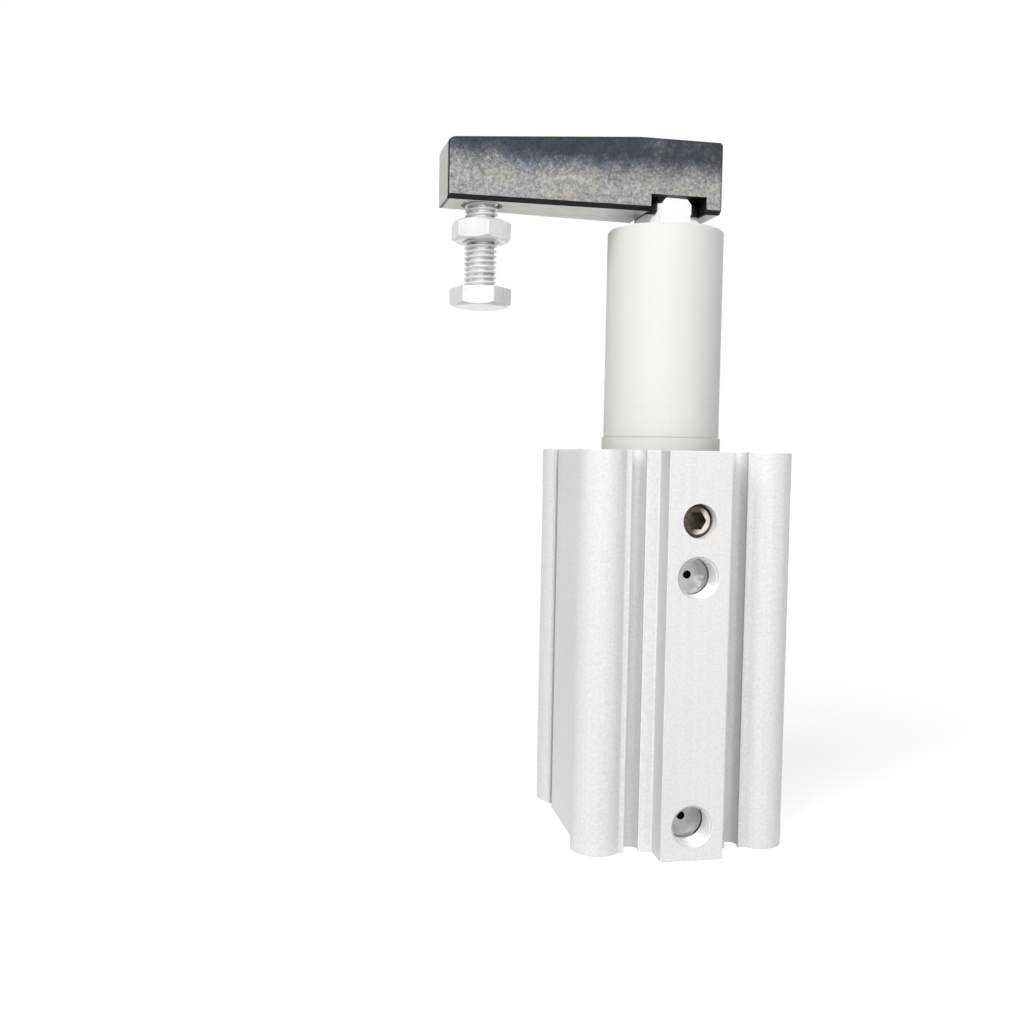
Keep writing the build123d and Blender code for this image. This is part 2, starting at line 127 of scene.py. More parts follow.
class Field:
    """One socket of a shader tree. Arithmetic on it adds Math nodes."""

    def __init__(self, tree, socket=None):
        self.tree = tree
        self.socket = socket

    def node(self, kind, settings=None, inputs=None, output=0):
        """Add a node, set it up, fill or link its inputs and return one of its outputs."""
        made = self.tree.nodes.new(kind)
        for name, value in (settings or {}).items():
            setattr(made, name, value)
        for name, value in (inputs or {}).items():
            if isinstance(value, Field):
                self.tree.links.new(made.inputs[name], value.socket)
            else:
                made.inputs[name].default_value = value
        return Field(self.tree, made.outputs[output])

    def math(self, operation, *values):
        return self.node("ShaderNodeMath", {"operation": operation}, dict(enumerate(values)))

    def __add__(self, other):
        return self.math("ADD", self, other)

    __radd__ = __add__

    def __sub__(self, other):
        if isinstance(other, Vector):
            return self.node("ShaderNodeVectorMath", {"operation": "SUBTRACT"}, {0: self, 1: other})
        return self.math("SUBTRACT", self, other)

    def __rsub__(self, other):
        return self.math("SUBTRACT", other, self)

    def __mul__(self, other):
        return self.math("MULTIPLY", self, other)

    __rmul__ = __mul__

    def span(self, low, high, to_low=0.0, to_high=1.0):
        """Map the range low to high onto another one, and stop at its ends."""
        return self.node("ShaderNodeMapRange", {"clamp": True}, {
            "Value": self, "From Min": low, "From Max": high, "To Min": to_low, "To Max": to_high,
        })

    def blend(self, first, second):
        """Colour between two colours, by this factor."""
        settings = {"data_type": "RGBA", "clamp_factor": True}
        return self.node("ShaderNodeMix", settings, {0: self, 6: first, 7: second}, output=2)

    def scaled(self, x, y, z):
        """This vector with each part multiplied."""
        return self.node("ShaderNodeVectorMath", {"operation": "MULTIPLY"}, {0: self, 1: (x, y, z)})

    def turned(self, turn):
        """This vector turned about Z."""
        return self.node("ShaderNodeMapping", {"vector_type": "POINT"}, {
            "Vector": self, "Rotation": (0, 0, turn),
        })

    def tinted(self, tint):
        """This colour multiplied by another."""
        settings = {"data_type": "RGBA", "blend_type": "MULTIPLY"}
        return self.node("ShaderNodeMix", settings, {0: 1.0, 6: self, 7: tint}, output=2)

    def size(self):
        """Distance of this number from zero."""
        return self.math("ABSOLUTE", self)

    def length(self):
        return self.node("ShaderNodeVectorMath", {"operation": "LENGTH"}, {0: self}, output="Value")

    def least(self, other):
        return self.math("MINIMUM", self, other)

    def most(self, other):
        return self.math("MAXIMUM", self, other)

    def as_vector(self):
        """This number along X."""
        return self.node("ShaderNodeCombineXYZ", None, {"X": self})

    def part(self, axis):
        return self.node("ShaderNodeSeparateXYZ", None, {0: self}, output="XYZ".index(axis))

    def noise(self, scale, detail=2.0, roughness=0.5):
        return self.node("ShaderNodeTexNoise", None, {
            "Vector": self, "Scale": scale, "Detail": detail, "Roughness": roughness,
        })

    def relief(self, depth, strength):
        """Bump with this height, and with its depth in metres."""
        return self.node("ShaderNodeBump", None, {
            "Height": self, "Distance": depth, "Strength": strength,
        }, output="Normal")


def socket_name(word):
    """Socket name of the Principled shader, from a Python name."""
    return word.replace("_", " ").title().replace("Ior", "IOR")


class Finish:
    """A material with one Principled shader, and the fields that its patterns start from."""

    def __init__(self, name, **constants):
        self.material = bpy.data.materials.new(name)
        self.material.use_nodes = True
        self.tree = self.material.node_tree
        self.tree.nodes.clear()
        start = Field(self.tree)
        self.shader = self.tree.nodes.new("ShaderNodeBsdfPrincipled")
        output = self.tree.nodes.new("ShaderNodeOutputMaterial")
        self.tree.links.new(output.inputs["Surface"], self.shader.outputs["BSDF"])
        for socket, value in constants.items():
            self.shader.inputs[socket_name(socket)].default_value = value
        self.place = start.node("ShaderNodeTexCoord", output="Object")
        self.normal = start.node("ShaderNodeTexCoord", output="Normal")

    def feed(self, **fields):
        """Link fields to the shader's sockets, by socket name."""
        for socket, field in fields.items():
            self.tree.links.new(self.shader.inputs[socket_name(socket)], field.socket)
        return self


def pick(*pieces):
    """Select these objects alone, with the first one active."""
    bpy.ops.object.select_all(action="DESELECT")
    for piece in pieces:
        piece.select_set(True)
    bpy.context.view_layer.objects.active = pieces[0]


def start_from(kind, name, **settings):
    """Add one primitive with nothing else selected, and name it."""
    bpy.ops.object.select_all(action="DESELECT")
    getattr(bpy.ops.mesh, f"primitive_{kind}_add")(**settings)
    bpy.context.object.name = name
    return bpy.context.object


def merged_copy(node, name):
    """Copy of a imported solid, with its loose triangles merged into whole faces."""
    pick(frame["nodes"][node])
    bpy.ops.object.duplicate()
    piece = bpy.context.object
    piece.name = name
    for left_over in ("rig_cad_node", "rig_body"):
        if left_over in piece:
            del piece[left_over]
    bpy.ops.object.mode_set(mode="EDIT")
    bpy.ops.mesh.select_all(action="SELECT")
    bpy.ops.mesh.remove_doubles(threshold=MERGE)
    bpy.ops.mesh.dissolve_limited(angle_limit=radians(0.5))
    bpy.ops.object.mode_set(mode="OBJECT")
    return piece


def select_parts(piece, kind, wanted):
    """Select the vertices, edges or faces of a mesh for which wanted(part, mesh) holds."""
    bpy.ops.object.mode_set(mode="EDIT")
    bpy.ops.mesh.select_mode(type={"vertices": "VERT", "edges": "EDGE", "polygons": "FACE"}[kind])
    bpy.ops.mesh.select_all(action="DESELECT")
    bpy.ops.object.mode_set(mode="OBJECT")
    for part in getattr(piece.data, kind):
        part.select = wanted(part, piece.data)
    bpy.ops.object.mode_set(mode="EDIT")


def combine(piece, tool, operation):
    """Cut, join or intersect a piece with a tool, which is used up."""
    bpy.context.view_layer.objects.active = piece
    bpy.ops.object.modifier_add(type="BOOLEAN")
    step = piece.modifiers[-1]
    step.operation = operation
    step.solver = "EXACT"
    step.object = tool
    bpy.ops.object.modifier_apply(modifier=step.name)
    bpy.data.objects.remove(tool)
    return piece


def cleaned(piece):
    """Merge what a boolean leaves doubled, drop slivers and close pinholes."""
    pick(piece)
    bpy.ops.object.mode_set(mode="EDIT")
    bpy.ops.mesh.select_mode(type="VERT")
    bpy.ops.mesh.select_all(action="SELECT")
    bpy.ops.mesh.remove_doubles(threshold=MERGE)
    bpy.ops.mesh.dissolve_degenerate(threshold=MERGE)
    bpy.ops.mesh.select_all(action="DESELECT")
    bpy.ops.mesh.select_non_manifold()
    bpy.ops.mesh.fill_holes(sides=0)
    bpy.ops.mesh.select_all(action="SELECT")
    bpy.ops.mesh.delete_loose()
    bpy.ops.mesh.select_all(action="SELECT")
    bpy.ops.mesh.normals_make_consistent(inside=False)
    bpy.ops.object.mode_set(mode="OBJECT")
    return piece


def joined(pieces):
    """Join separate pieces into the first one."""
    pick(*pieces)
    bpy.ops.object.join()
    return pieces[0]


def placed(piece, turn=Matrix.Identity(4), at=(0, 0, 0)):
    """Turn and move a piece in its mesh, so that its object stays at the origin."""
    pick(piece)
    piece.matrix_world = Matrix.Translation(at) @ turn @ piece.matrix_basis
    bpy.ops.object.transform_apply(location=True, rotation=True, scale=True)
    return piece


def copies(piece, places):
    """The piece and copies of it with their own meshes, moved to each place."""
    made = [piece]
    for _ in places[1:]:
        twin = piece.copy()
        twin.data = piece.data.copy()
        bpy.context.collection.objects.link(twin)
        made.append(twin)
    return [placed(each, at=place) for each, place in zip(made, places)]


def threaded_bar(name, radius, depth, pitch, low, high):
    """Closed bar about Z with a thread of this depth, cut square at both heights."""
    bar = start_from("plane", name, size=pitch)
    bpy.ops.object.mode_set(mode="EDIT")
    bpy.ops.mesh.select_mode(type="VERT")
    bpy.ops.mesh.merge(type="CENTER")
    bpy.ops.transform.translate(value=(radius, 0, low - 2 * pitch))
    crest, root, flank = 0.125 * pitch, 0.25 * pitch, 0.3125 * pitch
    for out, up in ((0, crest), (-depth, flank), (0, root), (depth, flank)):
        bpy.ops.mesh.extrude_region_move(TRANSFORM_OT_translate={"value": (out, 0, up)})
    bpy.ops.object.mode_set(mode="OBJECT")
    bpy.ops.object.modifier_add(type="SCREW")
    step = bar.modifiers[-1]
    step.screw_offset = pitch
    step.iterations = int((high - low) / pitch) + 4
    step.steps = step.render_steps = THREAD_STEPS
    bpy.ops.object.modifier_apply(modifier=step.name)
    bpy.ops.object.mode_set(mode="EDIT")
    bpy.ops.mesh.select_all(action="SELECT")
    bpy.ops.mesh.remove_doubles(threshold=MERGE)
    for height, below in ((low, True), (high, False)):
        bpy.ops.mesh.select_all(action="SELECT")
        bpy.ops.mesh.bisect(
            plane_co=(0, 0, height), plane_no=(0, 0, 1), threshold=MERGE / 10,
            use_fill=True, clear_inner=below, clear_outer=not below,
        )
    bpy.ops.mesh.select_all(action="SELECT")
    bpy.ops.mesh.normals_make_consistent(inside=False)
    bpy.ops.object.mode_set(mode="OBJECT")
    return bar


def hexagon(name, flats, low, high, turn, edge):
    """Hexagonal prism with its upright edges slightly rounded."""
    prism = start_from(
        "cylinder", name, vertices=6, radius=flats / (2 * cos(pi / 6)), depth=high - low,
        location=(0, 0, (low + high) / 2), rotation=(0, 0, turn),
    )
    placed(prism)
    select_parts(prism, "edges", lambda part, mesh: is_upright(part, mesh, high - low))
    bpy.ops.mesh.bevel(offset=edge, segments=3)
    bpy.ops.object.mode_set(mode="OBJECT")
    return prism


def sharp_edges(piece):
    """Indices of the edges where two faces meet at a marked angle."""
    select_parts(piece, "edges", lambda part, mesh: False)
    bpy.ops.mesh.edges_select_sharp(sharpness=radians(25))
    bpy.ops.object.mode_set(mode="OBJECT")
    return {edge.index for edge in piece.data.edges if edge.select}


def in_corner_hole(ends):
    """True for places on the wall of a corner counterbore."""
    centre = Vector((HOLE_AT, HOLE_AT))
    return all((Vector((abs(end.x), abs(end.y))) - centre).length < HOLE_CLEAR for end in ends)


def is_upright(edge, mesh, length):
    """True for an edge along Z that is at least this long."""
    first, second = (mesh.vertices[index].co for index in edge.vertices)
    return (first - second).length > 0.9 * length and (first - second).xy.length < MERGE


def is_outer_rim(edge, mesh):
    """True for an edge on either end of the tube, outside its bore and its corner holes."""
    ends = [mesh.vertices[index].co for index in edge.vertices]
    level = all(abs(end.z) < MERGE or abs(end.z - TUBE_TOP) < MERGE for end in ends)
    outside = all(end.xy.length > BORE_CLEAR for end in ends)
    return level and outside and not in_corner_hole(ends)


def turned_off(piece, face_radius, low, high, downwards):
    """Turn the corners of a hexagon off at one end, at 30 degrees."""
    grown = face_radius + (high - low) / sin(radians(30)) * cos(radians(30))
    radii = (face_radius, grown) if downwards else (grown, face_radius)
    cone = start_from(
        "cone", "corner_tool", vertices=96, radius1=radii[0], radius2=radii[1],
        depth=high - low, location=(0, 0, (low + high) / 2),
    )
    return combine(piece, placed(cone), "INTERSECT")


def smooth(piece):
    """Smooth shading across shallow edges only."""
    pick(piece)
    bpy.ops.object.shade_smooth_by_angle(angle=radians(15))
    return piece


def dress(piece, material):
    """Give a piece one finish."""
    piece.data.materials.clear()
    piece.data.materials.append(material)
    return piece


def axis_of(node):
    """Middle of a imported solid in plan, as a place on z = 0."""
    low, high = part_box(node)
    middle = (low + high) / 2
    return Vector((middle.x, middle.y, 0))


def from_bolt(place):
    """Distance from the axis of the clamp bolt."""
    return (place - axis_of("clamp_bolt")).scaled(1, 1, 0).length()


def tones(*names):
    """Colours of the finishes, by name."""
    look = bpy.context.scene.clamp_finishes
    return [tuple(getattr(look, name)) + (1,) for name in names]


def turning_lines(place, scale):
    """Fine lines of a lathe about the rod axis, on round walls and on flat ends alike."""
    feed = place.scaled(1, 1, 0).length() + place.part("Z")
    return feed.as_vector().noise(scale, detail=3.0, roughness=0.7)


def slot_shade(place):
    """Painted shade in the eight switch slots: a dark line of painted shadow under their lips, and
    lighter painted shade below it.
    """
    along, across = place.part("X").size(), place.part("Y").size()
    walls_and_shade = 0.0
    for beside, inward in ((along, across), (across, along)):
        aside = (beside - SLOT_AT).size()
        width = aside.span(SLOT_MOUTH - 0.7 * MM, SLOT_MOUTH) * aside.span(SLOT_HALF + BLUR, SLOT_HALF)
        down = inward.span(FLAT_FACE - BLUR, FLAT_FACE - 0.7 * MM)
        line = inward.span(FLAT_FACE - 1.7 * MM, FLAT_FACE - 0.9 * MM, 0.22, 1.0)
        walls_and_shade = width * down * line * inward.span(SLOT_BACK - 0.6 * MM, SLOT_BACK) + walls_and_shade
    return walls_and_shade


def panel_side_shade(place, normal):
    """Painted shade: 1 on the two narrow sides of the port panel."""
    turned = normal.part("X").size().span(0.7, 0.9)
    width = (place.part("X").size() - PANEL_HALF).size().span(0.6 * MM, 0.3 * MM)
    return turned * width * (place.part("Y") * -1).span(FLAT_FACE, FLAT_FACE + 0.6 * MM)


def port_fields(place):
    """Distance from the nearer port axis, and depth below the port panel."""
    lower, upper = (
        (place - Vector((0, 0, height))).scaled(1, 0, 1).length() for height in PORT_HEIGHTS
    )
    return lower.least(upper), place.part("Y") + PANEL_FACE


def satin_extrusion():
    """Blasted and clear anodised extrusion, with milled ends, painted shade in its switch slots and on
    the port panel's sides, and bare bored ports with painted shade in their thread roots, relief
    grooves and orifices.
    """
    dark, light, milled, shade_tone, port_dark, port_light = tones(
        "tube_dark", "tube_light", "tube_milled", "tube_shade", "port_dark", "port_light",
    )
    finish = Finish("satin_extrusion")
    grain = finish.place.noise(1900, detail=3.0, roughness=0.65)
    draw = finish.place.scaled(1400, 1400, 9).noise(1.0, detail=3.0)
    cloud = finish.place.noise(45, detail=3.0)
    ends = finish.normal.part("Z").size().span(0.85, 0.95)
    shade = grain.span(0.32, 0.68, 0.0, 0.7) + draw.span(0.3, 0.7, 0.0, 0.2) + cloud * 0.2
    body = ends.blend(shade.blend(dark, light), milled)
    # Painted shade in the switch slots and on the port panel's narrow sides
    painted_shade = slot_shade(finish.place) + panel_side_shade(finish.place, finish.normal) * 0.54
    body = painted_shade.span(0.0, 1.0).blend(body, shade_tone)
    radius, below = port_fields(finish.place)
    bored = radius.span(PORT_CLEAR + BLUR, PORT_CLEAR) * below.span(BLUR, 3 * BLUR)
    bored = bored * below.span(PORT_END + BLUR, PORT_END)
    rings = radius.as_vector().noise(1500, detail=3.0, roughness=0.7)
    tooled = rings.span(0.3, 0.7).blend(port_dark, port_light)
    # Painted shade in the roots of the port thread
    roots = radius.span(PORT_CREST, PORT_ROOT) * below.span(GROOVE_TOP, GROOVE_TOP - BLUR)
    tooled = (roots * 0.6).blend(tooled, ROOT_SHADE_GREY)
    # Painted shadow in the relief groove at the inner end of the port thread
    groove_shade = below.span(GROOVE_TOP, GROOVE_TOP + 3 * BLUR) * below.span(GROOVE_END, GROOVE_END - 3 * BLUR)
    tooled = (groove_shade * 0.8).blend(tooled, GROOVE_SHADE_GREY)
    # Painted shade: the small hole in the port floor is painted near black
    orifice_shade = radius.span(ORIFICE + 0.8 * BLUR, ORIFICE) * below.span(PORT_FLOOR, PORT_FLOOR + 2 * BLUR)
    tooled = orifice_shade.blend(tooled, ORIFICE_SHADE_BLACK)
    rough = grain.span(0.3, 0.7, 0.36, 0.5) - ends * 0.12 - bored * 0.08
    return finish.feed(
        base_color=bored.blend(body, tooled),
        metallic=bored * (1 - orifice_shade) * 0.3 + 0.06,
        roughness=rough,
        normal=(grain + draw * 0.4 + rings * bored * 2.0).relief(0.02 * MM, 0.6),
    ).material


def turned_anodised():
    """Hard anodised cover and neck, turned from bar: warm light grey with fine lathe lines."""
    dark, light, dark_line = tones("cover_dark", "cover_light", "cover_line")
    finish = Finish("turned_anodised", metallic=0.05, specular_ior_level=0.35)
    lines = turning_lines(finish.place, 5200)
    grain = finish.place.noise(3200, detail=2.0)
    cloud = finish.place.noise(60, detail=3.0)
    shade = lines.span(0.3, 0.7, 0.0, 0.3) + grain.span(0.3, 0.7, 0.0, 0.4) + cloud * 0.3
    ledge = finish.normal.part("Z").span(0.2, 0.5)
    ledge = ledge * finish.place.part("Z").span(COLLAR_TOP + MM, COLLAR_TOP)
    return finish.feed(
        base_color=(ledge * 0.75).blend(shade.blend(dark, light), dark_line),
        roughness=grain.span(0.3, 0.7, 0.55, 0.66),
        normal=(lines + grain).relief(0.01 * MM, 0.5),
    ).material


def turned_metal(name, dark, light, roughness):
    """Turned metal with lathe lines and slight clouding."""
    finish = Finish(name, metallic=1.0)
    lines = turning_lines(finish.place, 4200)
    cloud = finish.place.noise(120, detail=4.0)
    shade = lines.span(0.3, 0.7, 0.0, 0.6) + cloud * 0.5
    return finish.feed(
        base_color=shade.blend(dark + (1,), light + (1,)),
        roughness=lines.span(0.3, 0.7, roughness * 0.8, roughness * 1.25),
        normal=lines.relief(0.006 * MM, 0.5),
    ).material


def bright_zinc():
    """Bright zinc plate with a faint cool and warm tint, and painted shade in the roots of the clamp
    bolt's thread.
    """
    cool, warm, root_shade = tones("zinc_cool", "zinc_warm", "zinc_root_shade")
    finish = Finish("bright_zinc", metallic=0.16)
    cloud = finish.place.noise(260, detail=4.0)
    fine = finish.place.noise(2400, detail=3.0)
    streak = finish.place.turned(0.6).scaled(2600, 2600, 300).noise(1.0, detail=3.0)
    plated = cloud.span(0.35, 0.65).blend(cool, warm)
    brushed = streak.span(0.35, 0.65).blend((0.90, 0.90, 0.90, 1), (1.03, 1.03, 1.03, 1))
    aside = finish.normal.part("X").size().span(0.35, 0.6)
    plated = aside.blend(WHITE, brushed).tinted(plated)
    # Painted shade in the roots of the clamp bolt's thread, patchy by the cloud and kept off flat ends
    root = from_bolt(finish.place).span(BOLT_FLANK, BOLT_ROOT)
    root = root * ((cloud - 0.5) * 3.0 + 0.5).span(0.0, 1.0)
    root = root * finish.normal.part("Z").size().span(0.95, 0.85)
    return finish.feed(
        base_color=root.blend(plated, root_shade),
        roughness=cloud.span(0.3, 0.7, 0.14, 0.26),
        normal=fine.relief(0.006 * MM, 0.5),
    ).material


def rough_casting():
    """Blackened casting: black above and lighter below in painted light from below, speckled, with
    painted glints, a ground tip and a ground underside painted lighter, and dark edges partly of
    painted reflection and shade.
    """
    black, blue, lit_grey, glint_white, edge_and_shade_black, bare_light, bare_dark = tones(
        "cast_black", "cast_blue", "cast_lit", "cast_glint", "cast_edge_and_shade",
        "cast_ground", "cast_ground_dark",
    )
    low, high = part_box("clamp_arm")
    finish = Finish("rough_casting", metallic=0.15, specular_ior_level=0.3)
    place = finish.place.turned(-ARM_TURN)
    normal = finish.normal.turned(-ARM_TURN)
    along, height = place.part("X"), place.part("Z")
    cloud = finish.place.noise(95, detail=2.0)
    patch = finish.place.noise(420, detail=5.0, roughness=0.7)
    grit = finish.place.noise(1500, detail=3.0, roughness=0.8)
    grain = finish.place.noise(1050, detail=4.0, roughness=0.7)
    # Painted light from below: the sides run from black at the top through a half-lit blue to a lit
    # grey below
    crown = along.span(low.x, ARM_BREAK, high.z - ARM_TAPER, high.z)
    black_depth = along.span(low.x, ARM_BREAK, 0.4 * MM, 4.6 * MM)
    lit = (crown - height - black_depth).span(0.0, 8.1 * MM)
    lit = (lit + (cloud - 0.5) * 0.8 + (patch - 0.5) * 0.9).span(0.0, 1.0)
    sides = lit.span(0.0, 0.55).blend(black, blue)
    sides = lit.span(0.35, 1.0).blend(sides, lit_grey)
    tint = cloud.span(0.40, 0.60).blend((0.95, 0.975, 1.04, 1), (1.01, 1.0, 0.97, 1))
    speck = grain.span(0.34, 0.66).blend((0.52, 0.53, 0.55, 1), (1.34, 1.32, 1.28, 1))
    sides = sides.tinted(tint).tinted(speck)
    # Painted glints: small painted highlights, most where the sides are half lit
    shine = grit.span(0.56, 0.70) * lit.span(0.10, 0.45) * lit.span(1.0, 0.5, 0.28, 0.46)
    sides = shine.blend(sides, glint_white)
    sides = (grit.span(0.43, 0.33) * 0.6).blend(sides, black)
    down = (normal.part("Z") * -1).span(0.85, 0.95)
    down = down * height.span(low.z + 4 * BLUR, low.z + 2 * BLUR)
    tip = (normal.part("X") * -1).span(0.85, 0.95)
    tip = tip * along.span(low.x + 1.6 * MM, low.x + 1.2 * MM)
    ground = down.most(tip)
    brushed = finish.place.scaled(300, 300, 2600).noise(1.0, detail=3.0)
    # Painted light: the downward ground faces are painted a quarter lighter than the tip
    bare = brushed.blend(bare_dark, bare_light).tinted(down.blend(WHITE, (1.25, 1.25, 1.24, 1)))
    # Dark edges: a painted dark reflection along the lower edge, painted shade in the notch, and darker
    # bands along the top and round the tip and heel
    flank = normal.part("Y").size().span(0.9, 0.8)
    notch = along.size().span(NOTCH_HALF + BLUR, NOTCH_HALF - BLUR)
    notch = notch * height.span(NOTCH_TOP + BLUR, NOTCH_TOP - BLUR)
    wave = (patch - 0.5) * (1.6 * MM)
    # Painted dark reflection in a band along the lower edge
    chamfer = (height + wave).span(low.z + 1.7 * MM, low.z + 1.3 * MM) * (1 - down)
    chamfer = chamfer * from_bolt(finish.place).span(BOLT_CLEAR, BOLT_CLEAR + 0.5 * MM)
    corner = along.span(low.x + 1.0 * MM, low.x + 0.8 * MM)
    top = (crown - height - wave * 0.5).span(0.9 * MM, 0.3 * MM) * 0.8
    heel = along.span(high.x - 1.4 * MM, high.x - 0.4 * MM) * 0.8
    dark_edges_and_shade = notch.most(chamfer).most(corner) * flank * (1 - tip)
    dark_edges_and_shade = dark_edges_and_shade.most(top * (1 - ground)).most(heel * (1 - ground))
    return finish.feed(
        base_color=dark_edges_and_shade.blend(ground.blend(sides, bare), edge_and_shade_black),
        roughness=patch.span(0.3, 0.7, 0.40, 0.60) - ground * 0.12,
        normal=((patch * 1.2 + grit * 1.2) * (1 - ground * 0.85)).relief(0.16 * MM, 0.8),
    ).material


def blued_screw():
    """Set screw of dark bronze; its outward face and countersink are bare steel only in a painted lit
    crescent on its right side, and the rest is painted shade in the dark bronze of its chamfer and
    socket.
    """
    finish = Finish("blued_screw", metallic=0.55)
    out = finish.normal.part("Y") * -1
    bright = out.span(0.86, 0.95)
    bright = bright * (finish.place.part("Y") * -1).span(SCREW_FACE, SCREW_FACE + 0.5 * MM)
    # Painted light and shade: bare steel only on the lit right side of the face, dark bronze as shade
    # on the left
    aslant = (finish.place.part("Z") - SCREW_HEIGHT) * 0.35 - finish.place.part("X")
    crescent = aslant.span(0.125 * MM, -1.675 * MM)
    fine = finish.place.noise(900, detail=2.0)
    walls_and_shade = fine.blend((0.03, 0.023, 0.016, 1), (0.15, 0.123, 0.09, 1))
    bare = fine.blend((0.62, 0.59, 0.53, 1), (0.84, 0.81, 0.75, 1))
    return finish.feed(
        base_color=(bright * crescent).blend(walls_and_shade, bare),
        roughness=fine.span(0.3, 0.7, 0.2, 0.34),
        normal=fine.relief(0.01 * MM, 0.5),
    ).material


def black_phosphate():
    """Dark phosphated steel with a fine even grain."""
    finish = Finish("black_phosphate", metallic=0.4)
    grain = finish.place.noise(3000, detail=3.0)
    shade = (grain + finish.place.noise(300, detail=3.0)) * 0.5
    return finish.feed(
        base_color=shade.blend((0.012, 0.012, 0.014, 1), (0.05, 0.05, 0.055, 1)),
        roughness=grain.span(0.3, 0.7, 0.38, 0.55),
        normal=grain.relief(0.01 * MM, 0.5),
    ).material


def moulded(name, dark, light, roughness=0.6):
    """Moulded rubber or plastic with a matt skin."""
    finish = Finish(name, metallic=0.0)
    grain = finish.place.noise(3600, detail=2.0)
    shade = (grain + finish.place.noise(200, detail=3.0)) * 0.5
    return finish.feed(
        base_color=shade.blend(dark + (1,), light + (1,)),
        roughness=grain.span(0.3, 0.7, roughness - 0.08, roughness + 0.1),
        normal=grain.relief(0.012 * MM, 0.5),
    ).material


def paint(names, material):
    """Give the frame's own pieces a finish."""
    for name in names:
        for place in frame["nodes"][name].material_slots:
            place.material = material


def distance(name, description, default):
    """Property for a length, in metres."""
    return bpy.props.FloatProperty(
        name=name, description=description, subtype="DISTANCE", unit="LENGTH", default=default)


def angle(name, description, default):
    """Property for an angle, in radians."""
    return bpy.props.FloatProperty(
        name=name, description=description, subtype="ANGLE", default=default)


def colour(name, description, *default):
    """Property for a colour, from its red, green and blue."""
    return bpy.props.FloatVectorProperty(
        name=name, description=description, subtype="COLOR", default=default)


def number(name, description, default):
    """Property for a plain number."""
    return bpy.props.FloatProperty(name=name, description=description, default=default)


class ClampShapes(bpy.types.PropertyGroup):
    """Sizes of the cut threads, the hexagons and the softened edges."""

    tube_edge: distance("Tube edge", "Rounding of the extrusion's edges", 0.22 * MM)
    port_thread: distance(
        "Port thread", "Outer diameter of the pipe thread in the ports", 9.72 * MM)
    port_pitch: distance("Port pitch", "Pitch of the pipe thread", 0.907 * MM)
    port_reach: distance("Port reach", "How deep the pipe thread is cut", 5.8 * MM)
    port_mouth: distance("Port mouth", "Diameter of the chamfer at the mouth of a port", 10.0 * MM)
    port_heights: bpy.props.FloatVectorProperty(
        name="Port heights", description="Heights of the two port axes", size=2,
        unit="LENGTH", default=PORT_HEIGHTS)
    corner_thread: distance(
        "Corner thread", "Outer diameter of the threads in the corner holes", 6.0 * MM)
    corner_pitch: distance("Corner pitch", "Pitch of the threads in the corner holes", 1.0 * MM)
    corner_reach: distance(
        "Corner reach", "Depth of the threads below their counterbores", 10.0 * MM)
    hole_pitch: distance("Hole pitch", "Distance between neighbouring corner holes", 40.0 * MM)
    counterbore: distance("Counterbore", "Depth of the counterbores", 7.0 * MM)
    bolt_thread: distance("Bolt thread", "Outer diameter of the clamp bolt's thread", 8.0 * MM)
    bolt_pitch: distance("Bolt pitch", "Pitch of the clamp bolt's thread", 1.25 * MM)
    bolt_tip: distance("Bolt tip", "Chamfer at the tip of the clamp bolt", 0.7 * MM)
    head_height: distance("Head height", "Height of the bolt's hexagon head", 4.4 * MM)
    hex_flats: distance("Across flats", "Width across flats of the head and the nut", 13.0 * MM)
    hex_face: distance(
        "Hexagon face", "Diameter of a hexagon's flat face inside its chamfer", 12.35 * MM)
    hex_edge: distance("Hexagon edge", "Rounding of the hexagon's corners", 0.2 * MM)
    head_turn: angle("Head turn", "How the bolt's head is turned about its axis", radians(17))
    nut_turn: angle("Nut turn", "How the lock nut is turned about its axis", radians(4.5))
    nut_sink: distance("Nut countersink", "Depth of the countersinks of the nut", 0.55 * MM)


